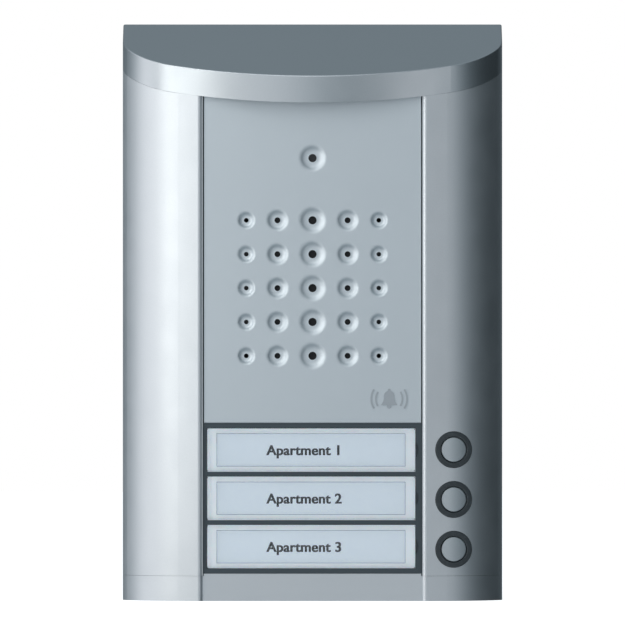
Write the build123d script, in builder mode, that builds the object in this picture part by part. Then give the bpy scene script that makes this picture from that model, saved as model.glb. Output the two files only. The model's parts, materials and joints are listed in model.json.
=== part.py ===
from build123d import *
from math import cos, hypot, radians, sin
import os

os.makedirs("parts", exist_ok=True)

# A surface-mounted audio door station.
# Frame: +Z up, the front looks along -Y, and the origin is the centre of the face on the wall (y = 0).
# "depth" is the distance out from the wall, so a point at depth d has y = -d.

# ---- driving dimensions, in millimetres ----
half_width = 74.6
half_height = 113.3
wall_gap = 3.0            # open gap between the housing's back edge and the wall

# plan section: crowned front, round corners, tighter round where the side begins
profile_depth = 48.0      # depth that the side profiles' crown would have at the middle
lip_depth = 49.0          # depth of the roof's lip at the middle
corner_radius = 34.0
corner_end = 60.0         # degrees from straight ahead where the corner round ends
edge_radius = 14.0
corner_depth = 7.9        # depth of the corner round's centre
skin = 2.0                # wall of the side profiles
cap_skin = 2.2            # wall of the caps

# roof
roof_slope = 0.4565       # rise per unit of depth
roof_thickness = 2.7
lip_height = 10.5
bottom_cap_height = 9.8
sill_height = 0.9         # how far the bottom cap rises in front of the channel
seam_gap = 0.08           # hairline between the side profiles and both caps

# recessed channel between the side profiles
channel_half = 43.0
channel_depth = 41.0      # depth of the loudspeaker panel's face
channel_round = 1.6
panel_half = 42.6
panel_thickness = 2.0
panel_bottom = -43.6
panel_top = 90.0
panel_edge_round = 0.3

# sound holes: distance of the columns from the middle, dish radius and hole radius
sound_columns = ((0.0, 5.7, 1.6), (13.74, 4.7, 1.15), (25.95, 3.75, 0.9))
sound_rows = 5
sound_pitch = 13.27
sound_middle = 9.25
microphone_height = 60.15
dish_depth = 1.15

# name plates
window_left = -41.3
window_right = 40.1
window_height = 16.8
window_gap = 0.15
window_pitch = 18.95
window_middle = -73.1
window_front = 41.3
window_nose = 1.15        # radius of the hinged end, and half the thickness
window_skin = 1.3
window_rim_side = 3.4
window_rim_edge = 1.6
nail_recess_width = 1.3   # half its size across and up
nail_recess_height = 2.7
nail_recess_depth = 1.4
window_pin_radius = 0.5
window_pin_length = 0.65
pin_clearance = 0.06
card_thickness = 0.28

# call buttons
button_x = 55.3
button_middle = -73.55
button_pitch = 19.5
button_radius = 4.88
ring_outer = 7.2
ring_inner = 5.08
ring_clearance = 0.05
ring_back = 33.0
ring_proud = 0.3
ring_round = 0.45
cap_round = 0.35

# depths of the inner layers
base_thickness = 2.5
main_board_depth = 15.0
board_thickness = 1.6
carrier_back = 23.0
carrier_front = 25.0
guide_back = 36.4
guide_front = 38.6

# service hinge, at the left of the back
hinge_x = -68.5
hinge_depth = 8.0
hinge_pin_radius = 1.5
hinge_boss_radius = 3.0
hinge_clearance = 0.06
washer_thickness = 0.25
ear_height = 4.0
upper_ear = 98.0          # underside of the upper ear
lower_ear = -108.3        # underside of the lower ear
hinge_seat = 5.0          # how far the upper pin goes into the roof cap
lower_seat = 3.2          # how far the lower pin goes into the bottom cap

# lock screw, at the right of the underside
lock_x = 66.0
lock_depth = 10.0
lock_hole = 2.3
lock_shank = 2.0
lock_seat = 9.0           # height of the screw's seat in the bottom cap
lock_collar = 5.8         # outside radius of that seat
lock_recess = 4.2         # radius of the recess for the screw's head
lock_tab = -99.5          # underside of the tab that the screw goes up into

# self-tapping screws
screw_radius = 1.4
screw_hole = 1.7
screw_head = 2.8
screw_head_height = 1.9
boss_radius = 3.2
frame_boss_radius = 2.2

# loudspeaker, lying on its front
speaker_z = sound_middle
speaker_rim = 33.0
speaker_back = 27.0       # depth of the basket's back
magnet_back = 19.5

# wall fixing and cable inlet
wall_hole_x = 50.0
wall_hole_z = 82.0
wall_hole_radius = 2.6
cable_z = -72.0
cable_radius = 5.0
inlet_radius = 9.0        # hole in the base plate, with the grommet in it

# ---- worked out from them ----
upper_boss = upper_ear + ear_height + washer_thickness
lower_boss = lower_ear - washer_thickness
panel_back = channel_depth - panel_thickness
corner_x = half_width - edge_radius - (corner_radius - edge_radius) * sin(radians(corner_end))
edge_depth = corner_depth + (corner_radius - edge_radius) * cos(radians(corner_end))
seam = -half_height + bottom_cap_height
floor_top = -half_height + 2.5
frame_bottom = seam + sill_height + 0.05
windows_half = window_pitch + window_height / 2
frame_boss_top = window_middle + windows_half + frame_boss_radius + 0.1
frame_boss_bottom = window_middle - windows_half - frame_boss_radius - 0.1
hinge_end_x = window_left + window_nose
hinge_end_depth = window_front - window_nose
window_heights = [window_middle + i * window_pitch for i in (1, 0, -1)]
button_heights = [button_middle + i * button_pitch for i in (1, 0, -1)]


def save(piece, label):
    """Name a finished piece and write it."""
    piece.part.label = label
    export_step(piece.part, f"parts/{label}.step")


def at_depth(depth):
    """The plane parallel to the wall at a depth; its x is X, its y is Z and its normal points forwards."""
    return Plane.XZ.offset(depth)


def crown_radius(front_depth):
    """Radius of the front arc, tangent to both corner rounds and front_depth deep at the middle."""
    over = front_depth - corner_depth
    return (corner_x**2 + over**2 - corner_radius**2) / (2 * (over - corner_radius))


def draw_plan(front_depth, inset=0.0, back=wall_gap):
    """Draw the housing's plan section in the active BuildLine, moved in by inset on its curved sides."""
    crown = crown_radius(front_depth)
    crown_y = crown - front_depth
    reach = hypot(corner_x, crown_y + corner_depth)
    to_corner = (corner_x / reach, -(crown_y + corner_depth) / reach)
    tangent = (to_corner[0] * (crown - inset), crown_y + to_corner[1] * (crown - inset))
    centre = (corner_x, -corner_depth)
    end = 90 - corner_end
    tangent_angle = Vector(to_corner[0], to_corner[1]).get_signed_angle(Vector(1, 0))
    middle_angle = (abs(tangent_angle) + end) / 2
    corner = corner_radius - inset
    edge = edge_radius - inset

    def on_corner(angle):
        x = centre[0] + corner * cos(radians(angle))
        return (x, centre[1] - corner * sin(radians(angle)))

    def on_edge(angle):
        x = half_width - edge_radius + edge * cos(radians(angle))
        return (x, -edge_depth - edge * sin(radians(angle)))

    right = [on_edge(0), on_edge(end / 2), on_edge(end), on_corner(middle_angle), tangent]
    left = [(-x, y) for x, y in right]
    side = half_width - inset
    Line((side, -back), right[0])
    ThreePointArc(right[0], right[1], right[2])
    ThreePointArc(right[2], right[3], right[4])
    ThreePointArc(right[4], (0, -front_depth + inset), left[4])
    ThreePointArc(left[4], left[3], left[2])
    ThreePointArc(left[2], left[1], left[0])
    Line(left[0], (-side, -back))
    Line((-side, -back), (side, -back))


def roof_plane(lowered=0.0):
    """The roof's sloped plane, or one parallel to it and lower."""
    return Plane(origin=(0, -wall_gap, half_height - lowered), z_dir=(0, -roof_slope, 1))


def screw_group(places, tip_depth, head_depth):
    """Pan-head screws driven forwards from behind: head back to head_depth, tip at tip_depth."""
    head_back = head_depth - screw_head_height
    with BuildPart() as screws:
        with BuildSketch(at_depth(head_depth)):
            with Locations(places):
                Circle(screw_head)
        extrude(amount=-screw_head_height)
        chamfer(screws.faces().filter_by(lambda f: abs(f.center().Y + head_back) < 0.01).edges(), 0.45)
        with BuildSketch(at_depth(head_depth)):
            with Locations(places):
                Circle(screw_radius)
        extrude(amount=tip_depth - head_depth)
        with BuildSketch(at_depth(head_back)):
            with Locations(places):
                Rectangle(3.0, 0.7)
                Rectangle(0.7, 3.0)
        extrude(amount=1.1, mode=Mode.SUBTRACT)
    return screws.part


# ---- places of the screws, as X and Z ----
profile_places = [(side * 66.5, z) for side in (-1, 1) for z in (80.0, -5.0, -98.0)]
cap_places = [(-30.0, 94.0), (30.0, 94.0), (-30.0, -106.4), (30.0, -106.4)]
panel_places = [(-37.0, 84.0), (37.0, 84.0), (-37.0, -36.0), (37.0, -36.0)]
frame_places = [(x, z) for z in (frame_boss_top, frame_boss_bottom) for x in (-36.0, 36.0)]
board_places = [(-36.0, 70.0), (36.0, 70.0), (-36.0, -84.0), (36.0, -84.0)]

# ================= roof cap =================
with BuildPart() as cap_hollow:
    with BuildSketch(Plane.XY.offset(60)):
        with BuildLine():
            draw_plan(lip_depth, inset=cap_skin, back=0)
        make_face()
    extrude(amount=60)
    split(bisect_by=roof_plane(roof_thickness), keep=Keep.BOTTOM)

with BuildPart() as top_cap:
    with BuildSketch(Plane.XY.offset(60)):
        with BuildLine():
            draw_plan(lip_depth)
        make_face()
    extrude(amount=60)
    split(bisect_by=roof_plane(), keep=Keep.BOTTOM)
    split(bisect_by=roof_plane(lip_height), keep=Keep.TOP)
    add(cap_hollow.part, mode=Mode.SUBTRACT)
    roof_face = top_cap.faces().filter_by(lambda f: f.normal_at().Z > 0.5).sort_by(Axis.Z)[-1]
    fillet(roof_face.edges().filter_by(lambda e: e.center().Y < -wall_gap - 1), 0.6)
    # bosses for the screws from the carrier
    with BuildSketch(at_depth(carrier_front)):
        with Locations(cap_places[:2]):
            Circle(boss_radius)
    extrude(amount=10.5)
    with BuildSketch(at_depth(carrier_front)):
        with Locations(cap_places[:2]):
            Circle(screw_radius)
    extrude(amount=9, mode=Mode.SUBTRACT)
    # boss for the upper hinge pin
    with BuildSketch(Plane.XY.offset(upper_boss)):
        with Locations((hinge_x, -hinge_depth)):
            Circle(hinge_boss_radius)
    extrude(amount=6)
    with BuildSketch(Plane.XY.offset(upper_boss)):
        with Locations((hinge_x, -hinge_depth)):
            Circle(hinge_pin_radius)
    extrude(amount=hinge_seat, mode=Mode.SUBTRACT)
save(top_cap, "top_cap")

# ================= side profiles =================
with BuildPart() as profile_blank:
    with BuildSketch(Plane.XY.offset(seam + seam_gap)) as section:
        with BuildLine():
            draw_plan(profile_depth)
        make_face()
        with Locations((channel_half - 100, -50)):
            Rectangle(200, 120, mode=Mode.SUBTRACT)
        inner_corner = section.vertices().group_by(Axis.X)[0].sort_by(Axis.Y)[0]
        fillet(inner_corner, channel_round)
        with BuildLine():
            draw_plan(profile_depth, inset=skin, back=0)
        make_face(mode=Mode.SUBTRACT)
        # the edge that folds back into the channel
        with Locations((channel_half + skin / 2, -38.0)):
            Rectangle(skin, 8.0)
        # the foot that is screwed to the carrier
        with Locations((66.2, -carrier_front - 1.4)):
            Rectangle(6.4, 2.8)
    extrude(amount=2 * half_height)
    split(bisect_by=roof_plane(lip_height + seam_gap), keep=Keep.BOTTOM)
    with BuildSketch(at_depth(carrier_front - 1)):
        with Locations(profile_places[3:]):
            Circle(screw_radius)
    extrude(amount=4, mode=Mode.SUBTRACT)

with BuildPart() as left_side_profile:
    add(profile_blank.part)
    mirror(about=Plane.YZ, mode=Mode.REPLACE)
save(left_side_profile, "left_side_profile")

with BuildPart() as right_side_profile:
    add(profile_blank.part)
    with BuildSketch(at_depth(30)):
        with Locations([(button_x, z) for z in button_heights]):
            Circle(ring_outer + ring_clearance)
    extrude(amount=20, mode=Mode.SUBTRACT)
save(right_side_profile, "right_side_profile")

# ================= bottom cap =================
with BuildPart() as bottom_hollow:
    with BuildSketch(Plane.XY.offset(floor_top)):
        with BuildLine():
            draw_plan(profile_depth, inset=cap_skin, back=0)
        make_face()
        with Locations((0, -channel_depth - 10 + cap_skin)):
            Rectangle(2 * (channel_half + cap_skin), 20, mode=Mode.SUBTRACT)
    extrude(amount=bottom_cap_height)

with BuildPart() as bottom_cap:
    with BuildSketch(Plane.XY.offset(-half_height)):
        with BuildLine():
            draw_plan(profile_depth)
        make_face()
        with Locations((0, -channel_depth - 10)):
            Rectangle(2 * channel_half, 20, mode=Mode.SUBTRACT)
    extrude(amount=bottom_cap_height)
    upright = bottom_cap.edges().filter_by(Axis.Z)
    channel_edges = upright.filter_by(lambda e: abs(abs(e.center().X) - channel_half) < 0.1)
    fillet(channel_edges.group_by(Axis.Y)[0], channel_round)
    add(bottom_hollow.part, mode=Mode.SUBTRACT)
    with BuildSketch(at_depth(carrier_front)):
        with Locations(cap_places[2:]):
            Circle(boss_radius - 0.2)
    extrude(amount=14.5)
    with BuildSketch(at_depth(carrier_front)):
        with Locations(cap_places[2:]):
            Circle(screw_radius)
    extrude(amount=9, mode=Mode.SUBTRACT)
    # sill under the name plates
    with BuildSketch(Plane.XY.offset(seam - cap_skin)):
        with Locations((0, -channel_depth + cap_skin / 2)):
            Rectangle(2 * panel_half, cap_skin)
    extrude(amount=cap_skin + sill_height)
    # boss for the lower hinge pin
    with BuildSketch(Plane.XY.offset(-half_height)):
        with Locations((hinge_x, -hinge_depth)):
            Circle(hinge_boss_radius)
    extrude(amount=lower_boss + half_height)
    with BuildSketch(Plane.XY.offset(lower_boss)):
        with Locations((hinge_x, -hinge_depth)):
            Circle(hinge_pin_radius)
    extrude(amount=-lower_seat, mode=Mode.SUBTRACT)
    # sunk seat of the lock screw, open below
    with BuildSketch(Plane.XY.offset(-half_height)):
        with Locations((lock_x, -lock_depth)):
            Circle(lock_collar)
    extrude(amount=lock_seat)
    with BuildSketch(Plane.XY.offset(-half_height)):
        with Locations((lock_x, -lock_depth)):
            Circle(lock_recess)
    extrude(amount=lock_seat - 2.0, mode=Mode.SUBTRACT)
    with BuildSketch(Plane.XY.offset(-half_height)):
        with Locations((lock_x, -lock_depth)):
            Circle(lock_hole)
    extrude(amount=lock_seat, mode=Mode.SUBTRACT)
save(bottom_cap, "bottom_cap")

# ================= loudspeaker panel =================
def dish(rim, hole):
    """Cutter for one sound hole: a soft-rimmed dish that narrows to a drilled hole, along +Y from y = 0."""
    bend = (0.64 * rim + 0.36 * hole, 0.42 * dish_depth)
    through = panel_thickness + 1
    with BuildPart() as cutter:
        with BuildSketch():
            with BuildLine():
                shoulder = TangentArc((rim, 0), bend, tangent=(-1, 0))
                TangentArc(bend, (hole, dish_depth), tangent=shoulder % 1)
                Polyline((hole, dish_depth), (hole, through), (0, through), (0, 0), (rim, 0))
            make_face()
        revolve(axis=Axis.Y)
    return cutter.part


with BuildPart() as speaker_panel:
    with BuildSketch(at_depth(channel_depth - panel_thickness)):
        with Locations((0, (panel_top + panel_bottom) / 2)):
            Rectangle(2 * panel_half, panel_top - panel_bottom)
    extrude(amount=panel_thickness)
    fillet(speaker_panel.faces().sort_by(Axis.Y)[0].edges(), panel_edge_round)
    # stiffening returns along both sides
    with BuildSketch(at_depth(channel_depth - panel_thickness)):
        with Locations([(side * (panel_half - 0.75), (panel_top + panel_bottom) / 2) for side in (-1, 1)]):
            Rectangle(1.5, panel_top - panel_bottom)
    extrude(amount=-5)
    # screw bosses
    with BuildSketch(at_depth(carrier_front)):
        with Locations(panel_places):
            Circle(boss_radius)
    extrude(amount=channel_depth - panel_thickness - carrier_front)
    with BuildSketch(at_depth(carrier_front)):
        with Locations(panel_places):
            Circle(screw_radius)
    extrude(amount=9, mode=Mode.SUBTRACT)
    row_heights = [sound_middle + (i - sound_rows // 2) * sound_pitch for i in range(sound_rows)]
    for column, rim, hole in sound_columns:
        cutter = dish(rim, hole)
        for x in {-column, column}:
            with Locations([(x, -channel_depth, z) for z in row_heights]):
                add(cutter, mode=Mode.SUBTRACT)
    with Locations((0, -channel_depth, microphone_height)):
        add(dish(*sound_columns[0][1:]), mode=Mode.SUBTRACT)
save(speaker_panel, "speaker_panel")

# ================= raised bell symbol =================
symbol_plane = Plane(origin=(30.0, -channel_depth, -34.15), x_dir=(1, 0, 0), z_dir=(0, -1, 0))
symbol_height = 0.35
with BuildPart() as bell_symbol:
    with BuildSketch(symbol_plane):
        with BuildLine():
            Line((-3.3, -2.4), (3.3, -2.4))
            ThreePointArc((3.3, -2.4), (2.35, -0.9), (2.1, 1.1))
            ThreePointArc((2.1, 1.1), (0, 3.2), (-2.1, 1.1))
            ThreePointArc((-2.1, 1.1), (-2.35, -0.9), (-3.3, -2.4))
        make_face()
        with Locations((0, -2.9)):
            Circle(0.9)
        with Locations((0, 3.4)):
            Circle(0.6)
        # two sound waves on each side
        for reach in (5.2, 7.0):
            for start in (-32, 148):
                with BuildLine():
                    outer = CenterArc((0, 0), reach + 0.35, start, 64)
                    inner = CenterArc((0, 0), reach - 0.35, start, 64)
                    Line(outer @ 0, inner @ 0)
                    Line(outer @ 1, inner @ 1)
                make_face()
    extrude(amount=symbol_height)
save(bell_symbol, "bell_symbol")

# ================= name plates =================
with BuildPart() as nameplate_frame:
    with BuildSketch(at_depth(guide_front)):
        with Locations((0, (panel_bottom + frame_bottom) / 2)):
            Rectangle(2 * panel_half + 0.5, panel_bottom - frame_bottom)
        with Locations([((window_left + window_right) / 2, z) for z in window_heights]):
            Rectangle(window_right - window_left + 0.3, window_height + 2 * window_gap, mode=Mode.SUBTRACT)
    extrude(amount=channel_depth - guide_front)
    # sockets for the windows' hinge pins, inside the bars
    for z in window_heights:
        with BuildSketch(Plane.XY.offset(z - window_height / 2 - window_gap - 0.8)):
            with Locations((hinge_end_x, -hinge_end_depth)):
                Circle(window_pin_radius + pin_clearance)
        extrude(amount=window_height + 2 * window_gap + 1.6, mode=Mode.SUBTRACT)
    # recess beside each window for a fingernail
    with BuildSketch(at_depth(channel_depth - nail_recess_depth)):
        with Locations([(window_right + window_gap, z) for z in window_heights]):
            Ellipse(nail_recess_width, nail_recess_height)
    extrude(amount=nail_recess_depth, mode=Mode.SUBTRACT)
    # bosses for the screws from the carrier
    with BuildSketch(at_depth(carrier_front)):
        with Locations(frame_places):
            Circle(frame_boss_radius)
    extrude(amount=guide_front - carrier_front)
    with BuildSketch(at_depth(carrier_front)):
        with Locations(frame_places):
            Circle(screw_radius)
    extrude(amount=9, mode=Mode.SUBTRACT)
save(nameplate_frame, "nameplate_frame")

window_back = hinge_end_depth - window_nose
window_length = window_right - hinge_end_x
for number, z in enumerate(window_heights, start=1):
    with BuildPart() as name_window:
        # plate with a round hinged end
        with BuildSketch(Plane.XY.offset(z - window_height / 2)):
            with Locations((hinge_end_x, -hinge_end_depth)):
                Circle(window_nose)
            with Locations((hinge_end_x + window_length / 2, -hinge_end_depth)):
                Rectangle(window_length, 2 * window_nose)
        extrude(amount=window_height)
        front_face = name_window.faces().sort_by(Axis.Y)[0]
        chamfer(front_face.edges().filter_by(lambda e: e.center().X > hinge_end_x + 1), 0.45)
        # shallow tray on the back, over the card
        with BuildSketch(at_depth(window_back)):
            with Locations(((window_left + window_right) / 2, z)):
                RectangleRounded(window_right - window_left - 2 * window_rim_side,
                                 window_height - 2 * window_rim_edge, 0.6)
        extrude(amount=2 * window_nose - window_skin, mode=Mode.SUBTRACT)
        # hinge pins above and below
        with BuildSketch(Plane.XY.offset(z - window_height / 2 - window_pin_length)):
            with Locations((hinge_end_x, -hinge_end_depth)):
                Circle(window_pin_radius)
        extrude(amount=window_height + 2 * window_pin_length)
    save(name_window, f"name_window_{number}")

    with BuildPart() as label_card:
        with BuildSketch(at_depth(guide_front)):
            with Locations(((window_left + window_right) / 2, z)):
                RectangleRounded(window_right - window_left - 2 * window_rim_side - 0.6,
                                 window_height - 2 * window_rim_edge - 0.6, 0.4)
        extrude(amount=card_thickness)
    save(label_card, f"label_card_{number}")

with BuildPart() as light_guide:
    with BuildSketch(at_depth(guide_back)):
        with Locations((0, window_middle)):
            Rectangle(2 * panel_half - 3, 2 * windows_half)
    extrude(amount=guide_front - guide_back)
save(light_guide, "light_guide")

led_board_back = 32.6
led_board_front = 33.6
led_places = [(x, z) for z in window_heights for x in (-24.0, 0.0, 24.0)]
with BuildPart() as led_board:
    with BuildSketch(at_depth(led_board_back)):
        with Locations((0, window_middle)):
            Rectangle(66, 50)
    extrude(amount=led_board_front - led_board_back)
    # feet that stand on the carrier
    with BuildSketch(at_depth(carrier_front)):
        with Locations([(x, window_middle + dz) for x in (-28.0, 28.0) for dz in (10.0, -8.9)]):
            Circle(1.8)
    extrude(amount=led_board_back - carrier_front)
save(led_board, "led_board")

with BuildPart() as backlight_leds:
    with BuildSketch(at_depth(led_board_front)):
        with Locations(led_places):
            Rectangle(3.5, 2.8)
    extrude(amount=1.4)
    with BuildSketch(at_depth(led_board_front + 1.4)):
        with Locations(led_places):
            Circle(1.0)
    extrude(amount=-0.3, mode=Mode.SUBTRACT)
save(backlight_leds, "backlight_leds")

# ================= call buttons =================
with BuildPart() as inside_surface:
    with BuildSketch(Plane.XY.offset(-half_height)):
        with BuildLine():
            draw_plan(profile_depth, back=0)
        make_face()
    extrude(amount=half_height)

with BuildPart() as proud_surface:
    with BuildSketch(Plane.XY.offset(-half_height)):
        with BuildLine():
            draw_plan(profile_depth, inset=-ring_proud, back=0)
        make_face()
    extrude(amount=half_height)

button_board_front = carrier_front + board_thickness
switch_front = 30.2
plunger_front = 31.2


def front_rims(piece):
    """The curved edges around a button piece's front."""
    front_edges = piece.edges().filter_by(lambda e: e.center().Y < -ring_back - 0.5)
    return front_edges.filter_by(GeomType.LINE, reverse=True)


for number, z in enumerate(button_heights, start=1):
    with BuildPart() as button_ring:
        with BuildSketch(at_depth(ring_back)):
            with Locations((button_x, z)):
                Circle(ring_outer)
                Circle(ring_inner, mode=Mode.SUBTRACT)
        extrude(amount=12)
        add(proud_surface.part, mode=Mode.INTERSECT)
        fillet(front_rims(button_ring), ring_round)
    save(button_ring, f"button_ring_{number}")

    with BuildPart() as button_cap:
        with BuildSketch(at_depth(ring_back - 1.1)):
            with Locations((button_x, z)):
                Circle(button_radius)
        extrude(amount=12)
        add(inside_surface.part, mode=Mode.INTERSECT)
        fillet(front_rims(button_cap), cap_round)
        # collar that keeps it behind the ring, and the stem that meets the switch
        with BuildSketch(at_depth(ring_back - 1.1)):
            with Locations((button_x, z)):
                Circle(ring_inner + 1.1)
        extrude(amount=1.0)
        with BuildSketch(at_depth(plunger_front)):
            with Locations((button_x, z)):
                Circle(2.0)
        extrude(amount=ring_back - 1.1 - plunger_front)
    save(button_cap, f"button_cap_{number}")

    with BuildPart() as call_switch:
        with BuildSketch(at_depth(button_board_front)):
            with Locations((button_x, z)):
                RectangleRounded(6.4, 6.4, 0.6)
        extrude(amount=switch_front - button_board_front)
        with BuildSketch(at_depth(switch_front)):
            with Locations((button_x, z)):
                Circle(1.9)
        extrude(amount=-2.6, mode=Mode.SUBTRACT)
        # four legs beside the body
        with BuildSketch(at_depth(button_board_front)):
            with Locations([(button_x + dx, z + dz) for dx in (-3.6, 3.6) for dz in (-2.2, 2.2)]):
                Rectangle(0.9, 0.7)
        extrude(amount=0.8)
    save(call_switch, f"call_switch_{number}")

    with BuildPart() as switch_plunger:
        with BuildSketch(at_depth(switch_front - 1.2)):
            with Locations((button_x, z)):
                Circle(1.7)
        extrude(amount=plunger_front - switch_front + 1.2)
    save(switch_plunger, f"switch_plunger_{number}")

with BuildPart() as button_board:
    with BuildSketch(at_depth(carrier_front)):
        with Locations((button_x, button_middle)):
            RectangleRounded(14.0, 55.0, 1.0)
    extrude(amount=board_thickness)
save(button_board, "button_board")

# ================= carrier =================
speaker_opening = 19.4
speaker_rim_back = 35.3
boot_back = 31.8
ribbon_x = 49.6
led_lead_z = -88.0
with BuildPart() as carrier:
    with BuildSketch(at_depth(carrier_back)):
        with Locations((0, -5.5)):
            RectangleRounded(138.0, 207.0, 3.0)
        with Locations((0, sound_middle)):
            Circle(speaker_opening, mode=Mode.SUBTRACT)
        with Locations(profile_places + cap_places + panel_places + frame_places):
            Circle(screw_hole, mode=Mode.SUBTRACT)
        # way past the hinge bosses and the lock seat
        with Locations((lock_x, -107.5)):
            Rectangle(16.0, 11.0, mode=Mode.SUBTRACT)
        # ways through for the ribbon and the leads
        with Locations((ribbon_x, button_middle)):
            Rectangle(2.6, 10.0, mode=Mode.SUBTRACT)
        with Locations((0, microphone_height), (0, led_lead_z)):
            Circle(2.4, mode=Mode.SUBTRACT)
    extrude(amount=carrier_front - carrier_back)
    # ribs across the back
    with BuildSketch(at_depth(carrier_back)):
        with Locations([(0, 88.5), (0, -93.0)]):
            Rectangle(118.0, 1.6)
        with Locations([(-52.0, -2.0), (52.0, -2.0)]):
            Rectangle(1.6, 150.0)
    extrude(amount=-3.0)
    # posts behind the loudspeaker's rim
    with BuildSketch(at_depth(carrier_front)):
        with Locations((0, speaker_z)):
            with PolarLocations(speaker_rim - 2.5, 3, start_angle=90):
                Circle(1.6)
    extrude(amount=speaker_rim_back - carrier_front)
    # tube behind the microphone
    with BuildSketch(at_depth(carrier_front)):
        with Locations((0, microphone_height)):
            Circle(4.4)
            Circle(2.4, mode=Mode.SUBTRACT)
    extrude(amount=boot_back - carrier_front)
    # posts for the main board
    with BuildSketch(at_depth(carrier_back)):
        with Locations(board_places):
            Circle(boss_radius)
    extrude(amount=main_board_depth + board_thickness - carrier_back)
    with BuildSketch(at_depth(main_board_depth + board_thickness)):
        with Locations(board_places):
            Circle(screw_radius)
    extrude(amount=carrier_back - main_board_depth - board_thickness, mode=Mode.SUBTRACT)
save(carrier, "carrier")

# ================= loudspeaker =================
with BuildPart() as speaker_mesh:
    with BuildSketch(at_depth(panel_back)):
        with Locations((0, speaker_z)):
            Circle(speaker_rim)
    extrude(amount=-0.3)
save(speaker_mesh, "speaker_mesh")

gasket_back = 36.8
with BuildPart() as speaker_gasket:
    with BuildSketch(at_depth(gasket_back)):
        with Locations((0, speaker_z)):
            Circle(speaker_rim)
            Circle(speaker_rim - 4, mode=Mode.SUBTRACT)
    extrude(amount=panel_back - 0.3 - gasket_back)
save(speaker_gasket, "speaker_gasket")

speaker_plane = Plane(origin=(0, 0, speaker_z), x_dir=(1, 0, 0), z_dir=(0, 0, 1))
speaker_axis = Axis((0, 0, speaker_z), (0, 1, 0))
with BuildPart() as loudspeaker_basket:
    with BuildSketch(speaker_plane):
        with BuildLine():
            Polyline((speaker_rim, -gasket_back), (speaker_rim, -speaker_rim_back),
                     (28.6, -speaker_rim_back), (19.0, -speaker_back), (9.4, -speaker_back),
                     (9.4, -speaker_back - 1), (18.4, -speaker_back - 1),
                     (28.0, -speaker_rim_back - 0.9), (28.0, -gasket_back), close=True)
        make_face()
    revolve(axis=speaker_axis)
    # windows in the sloping side
    with BuildSketch(at_depth(speaker_back + 1.4)):
        with Locations((0, speaker_z)):
            with PolarLocations(23.5, 4, start_angle=45):
                RectangleRounded(5.4, 13.0, 1.5)
    extrude(amount=speaker_rim_back - speaker_back - 1.8, mode=Mode.SUBTRACT)
save(loudspeaker_basket, "loudspeaker_basket")

rim_behind = gasket_back - 0.5
with BuildPart() as loudspeaker_cone:
    with BuildSketch(speaker_plane):
        with BuildLine():
            Line((27.9, -gasket_back), (27.0, -gasket_back))
            ThreePointArc((27.0, -gasket_back), (25.6, -gasket_back - 1.2), (24.2, -gasket_back))
            Line((24.2, -gasket_back), (8.6, -30.6))
            TangentArc((0, -33.2), (8.6, -30.6), tangent=(1, 0))
            Line((0, -33.2), (0, -32.7))
            TangentArc((0, -32.7), (8.4, -30.0), tangent=(1, 0))
            Line((8.4, -30.0), (24.5, -rim_behind - 0.1))
            ThreePointArc((24.5, -rim_behind - 0.1), (25.6, -gasket_back - 0.6), (26.7, -rim_behind))
            Line((26.7, -rim_behind), (27.9, -rim_behind))
            Line((27.9, -rim_behind), (27.9, -gasket_back))
        make_face()
    revolve(axis=speaker_axis)
save(loudspeaker_cone, "loudspeaker_cone")

with BuildPart() as loudspeaker_magnet:
    with BuildSketch(at_depth(magnet_back)):
        with Locations((0, speaker_z)):
            Circle(16.0)
    extrude(amount=speaker_back - magnet_back)
    chamfer(loudspeaker_magnet.faces().sort_by(Axis.Y)[-1].edges(), 0.8)
    with BuildSketch(at_depth(magnet_back)):
        with Locations((0, speaker_z)):
            Circle(3.0)
    extrude(amount=4.0, mode=Mode.SUBTRACT)
save(loudspeaker_magnet, "loudspeaker_magnet")

# ================= microphone =================
capsule_back = 32.8
capsule_radius = 4.85
with BuildPart() as microphone_capsule:
    with BuildSketch(at_depth(capsule_back)):
        with Locations((0, microphone_height)):
            Circle(capsule_radius)
    extrude(amount=panel_back - 1 - capsule_back)
    chamfer(microphone_capsule.faces().sort_by(Axis.Y)[0].edges(), 0.4)
save(microphone_capsule, "microphone_capsule")

with BuildPart() as microphone_boot:
    with BuildSketch(at_depth(boot_back)):
        with Locations((0, microphone_height)):
            Circle(6.6)
    extrude(amount=panel_back - boot_back)
    with BuildSketch(at_depth(capsule_back)):
        with Locations((0, microphone_height)):
            Circle(capsule_radius)
    extrude(amount=panel_back - 1 - capsule_back, mode=Mode.SUBTRACT)
    with BuildSketch(at_depth(boot_back)):
        with Locations((0, microphone_height)):
            Circle(1.9)
    extrude(amount=panel_back - boot_back, mode=Mode.SUBTRACT)
save(microphone_boot, "microphone_boot")

# ================= electronics =================
main_board_front = main_board_depth + board_thickness
with BuildPart() as main_board:
    with BuildSketch(at_depth(main_board_depth)):
        with Locations((0, -8.5)):
            RectangleRounded(80.0, 173.0, 1.5)
        with Locations(board_places):
            Circle(screw_hole, mode=Mode.SUBTRACT)
    extrude(amount=board_thickness)
save(main_board, "main_board")

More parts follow.
